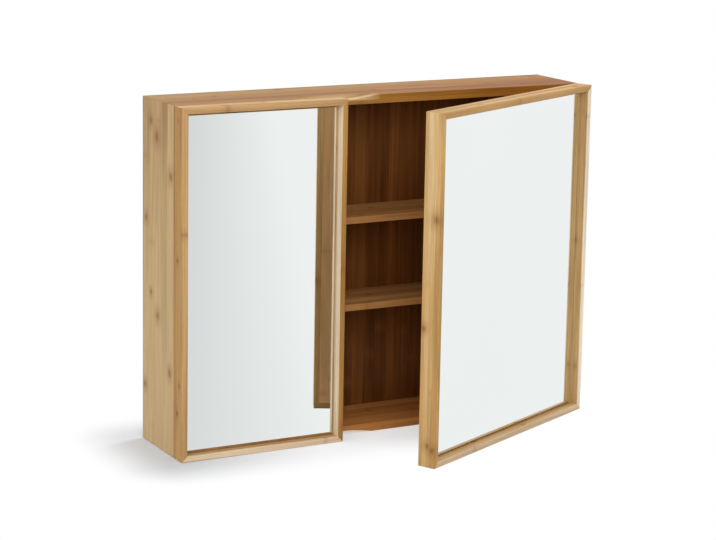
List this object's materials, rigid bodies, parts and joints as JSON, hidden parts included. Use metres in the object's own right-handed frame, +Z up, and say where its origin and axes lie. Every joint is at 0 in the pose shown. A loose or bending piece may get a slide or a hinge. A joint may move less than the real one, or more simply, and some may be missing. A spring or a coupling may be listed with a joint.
{
  "type": "bathroom mirror cabinet",
  "caption": "Shallow wall-hung bathroom cabinet in mitred bamboo, with fixed shelves behind a narrow and a wide mirrored door that swing on concealed hinges.",
  "frame": {"origin": "midway between the two keyhole entries of the hanger plates, on the wall plane", "axes": "+X to the right as one faces the cabinet, +Y into the wall, +Z up"},
  "size_m": [0.6686, 0.3117, 0.5],
  "materials": {
    "carcass_bamboo": "satin lacquer",
    "shelf_bamboo": "satin lacquer",
    "back_bamboo": "satin lacquer",
    "door_bamboo": "satin lacquer",
    "backboard_bamboo": "satin lacquer",
    "joinery_beech": "plain",
    "mirror": "silvered float glass",
    "mirror_tape": "foam tape",
    "bumper": "clear soft plastic",
    "hinge_steel": "nickel plated",
    "hanger_steel": "zinc plated",
    "screw_steel": "zinc plated"
  },
  "bodies": {
    "carcass": {"left_side": "carcass_bamboo", "right_side": "carcass_bamboo", "top_board": "carcass_bamboo", "bottom_board": "carcass_bamboo", "back_panel": "back_bamboo", "lower_shelf": "shelf_bamboo", "upper_shelf": "shelf_bamboo", "corner_splines": "joinery_beech", "shelf_dowels": "joinery_beech", "left_hanger_plate": "hanger_steel", "right_hanger_plate": "hanger_steel", "hanger_screws": "screw_steel", "left_upper_hinge_arm": "hinge_steel", "left_upper_hinge_plate": "hinge_steel", "left_lower_hinge_arm": "hinge_steel", "left_lower_hinge_plate": "hinge_steel", "left_hinge_plate_screws": "screw_steel", "right_upper_hinge_arm": "hinge_steel", "right_upper_hinge_plate": "hinge_steel", "right_lower_hinge_arm": "hinge_steel", "right_lower_hinge_plate": "hinge_steel", "right_hinge_plate_screws": "screw_steel"},
    "left_door": {"left_door_hinge_stile": "door_bamboo", "left_door_free_stile": "door_bamboo", "left_door_top_rail": "door_bamboo", "left_door_bottom_rail": "door_bamboo", "left_door_backboard": "backboard_bamboo", "left_mirror_tape": "mirror_tape", "left_mirror": "mirror", "left_door_bumpers": "bumper", "left_upper_hinge_cup": "hinge_steel", "left_upper_hinge_pin": "hinge_steel", "left_lower_hinge_cup": "hinge_steel", "left_lower_hinge_pin": "hinge_steel", "left_hinge_cup_screws": "screw_steel"},
    "right_door": {"right_door_hinge_stile": "door_bamboo", "right_door_free_stile": "door_bamboo", "right_door_top_rail": "door_bamboo", "right_door_bottom_rail": "door_bamboo", "right_door_backboard": "backboard_bamboo", "right_mirror_tape": "mirror_tape", "right_mirror": "mirror", "right_door_bumpers": "bumper", "right_upper_hinge_cup": "hinge_steel", "right_upper_hinge_pin": "hinge_steel", "right_lower_hinge_cup": "hinge_steel", "right_lower_hinge_pin": "hinge_steel", "right_hinge_cup_screws": "screw_steel"}
  },
  "joints": [
    {"name": "left_door_swing", "type": "hinge", "parent": "carcass", "child": "left_door", "pos_m": [-0.3255, -0.1185, 0], "axis": [0, 0, -1], "range_deg": [0, 100]},
    {"name": "right_door_swing", "type": "hinge", "parent": "carcass", "child": "right_door", "pos_m": [0.3255, -0.1185, 0], "axis": [0, 0, 1], "range_deg": [-26, 74]}
  ]
}
